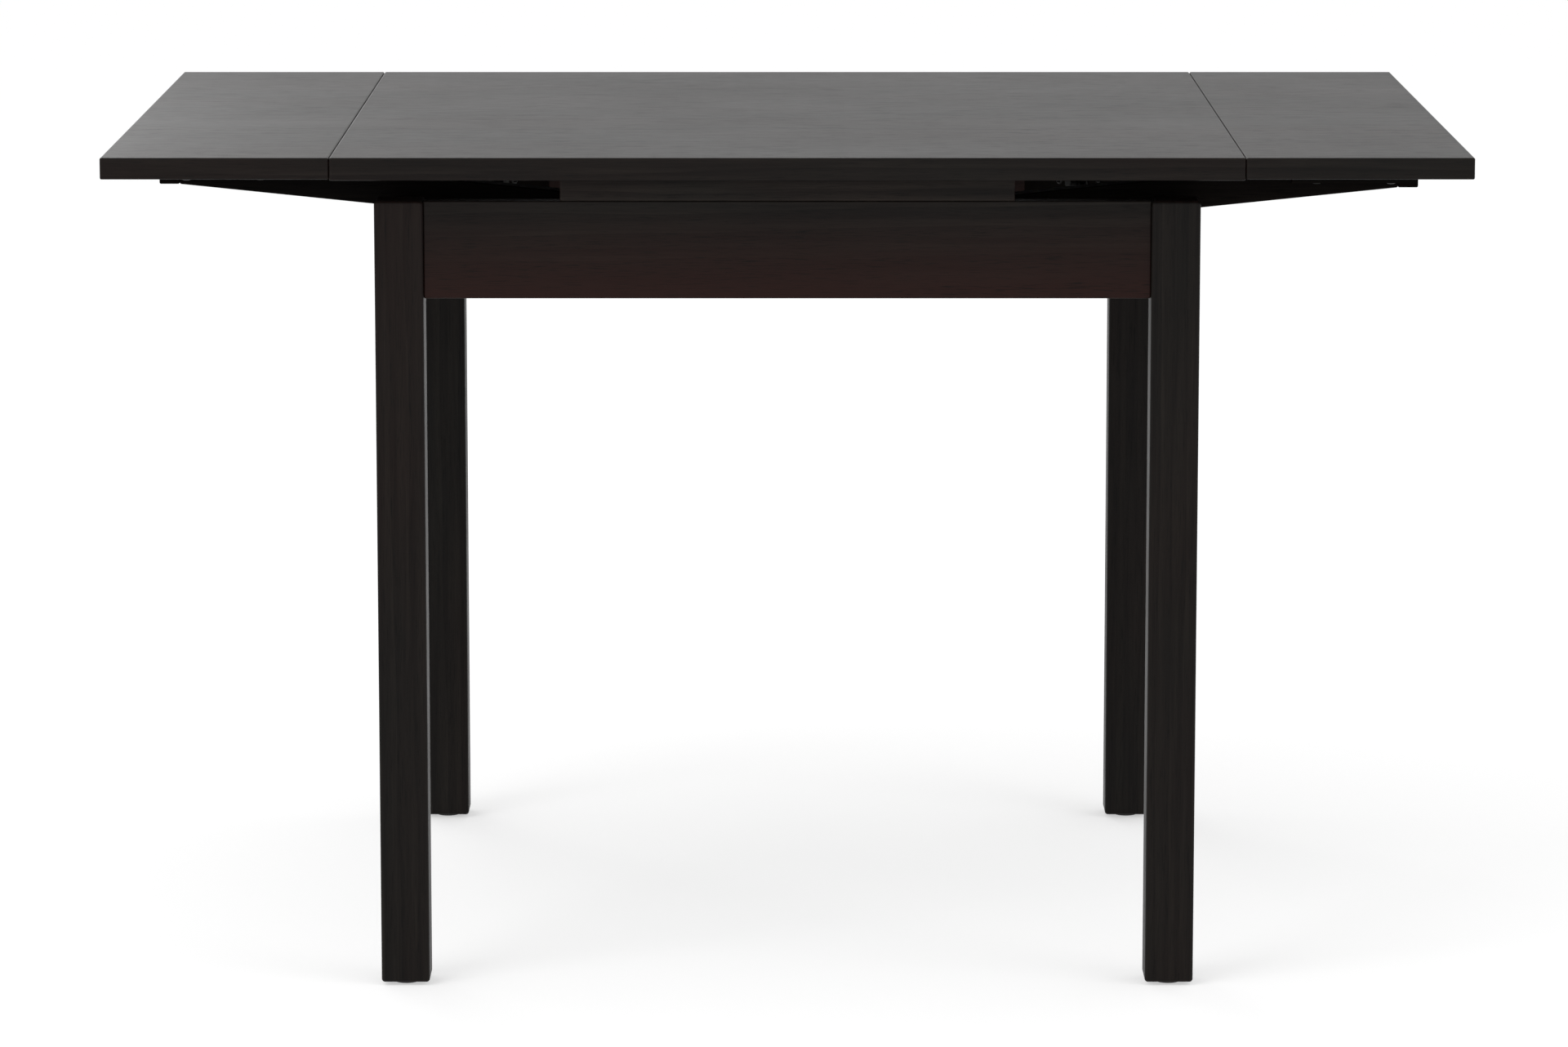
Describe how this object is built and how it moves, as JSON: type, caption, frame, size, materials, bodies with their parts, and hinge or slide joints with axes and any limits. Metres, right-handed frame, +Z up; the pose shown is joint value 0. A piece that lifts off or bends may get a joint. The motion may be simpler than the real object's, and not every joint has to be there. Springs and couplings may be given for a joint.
{
  "type": "extending dining table",
  "caption": "Dark extending dining table: square legs, aprons and a fixed top, with an end leaf each side lying on tapered lopers that slide into the frame.",
  "frame": {"origin": "on the floor, under the middle of the top", "axes": "+X along the table towards the right leaf, +Y from the front to the back, +Z up"},
  "size_m": [1.2, 0.8, 0.745],
  "materials": {
    "top_veneer": "black-brown stained veneer, satin lacquer",
    "frame_wood": "black-brown stained wood, satin lacquer",
    "loper_wood": "black-brown stained hardwood, waxed",
    "hidden_wood": "dark stained beech, not lacquered",
    "zinc_steel": "black zinc plated",
    "glide_plastic": "moulded nylon"
  },
  "bodies": {
    "frame": {"back_apron": "frame_wood", "back_left_corner_block": "hidden_wood", "back_left_glide": "glide_plastic", "back_left_leg": "frame_wood", "back_right_corner_block": "hidden_wood", "back_right_glide": "glide_plastic", "back_right_leg": "frame_wood", "centre_board": "frame_wood", "centre_board_screws": "zinc_steel", "corner_bolts": "zinc_steel", "corner_nuts": "zinc_steel", "front_apron": "frame_wood", "front_left_corner_block": "hidden_wood", "front_left_glide": "glide_plastic", "front_left_leg": "frame_wood", "front_right_corner_block": "hidden_wood", "front_right_glide": "glide_plastic", "front_right_leg": "frame_wood", "left_end_rail": "frame_wood", "left_guide_rail": "hidden_wood", "right_end_rail": "frame_wood", "right_guide_rail": "hidden_wood", "table_top": "top_veneer", "top_screws": "zinc_steel"},
    "left_leaf": {"left_leaf": "top_veneer", "left_leaf_back_cleat": "loper_wood", "left_leaf_front_cleat": "loper_wood"},
    "right_leaf": {"right_leaf": "top_veneer", "right_leaf_back_cleat": "loper_wood", "right_leaf_front_cleat": "loper_wood"},
    "left_lopers": {"left_back_loper": "loper_wood", "left_front_loper": "loper_wood", "left_stop_pins": "hidden_wood", "left_tie_rail": "loper_wood", "left_tie_screws": "zinc_steel"},
    "right_lopers": {"right_back_loper": "loper_wood", "right_front_loper": "loper_wood", "right_stop_pins": "hidden_wood", "right_tie_rail": "loper_wood", "right_tie_screws": "zinc_steel"}
  },
  "joints": [
    {"name": "left_loper_slide", "type": "slide", "parent": "frame", "child": "left_lopers", "axis": [-0.9948, 0, 0.1022], "range_m": [-0.2, 0]},
    {"name": "left_leaf_lift", "type": "slide", "parent": "frame", "child": "left_leaf", "axis": [0, 0, 1], "range_m": [0, 0.15]},
    {"name": "right_loper_slide", "type": "slide", "parent": "frame", "child": "right_lopers", "axis": [0.9948, 0, 0.1022], "range_m": [-0.2, 0]},
    {"name": "right_leaf_lift", "type": "slide", "parent": "frame", "child": "right_leaf", "axis": [0, 0, 1], "range_m": [0, 0.15]}
  ]
}
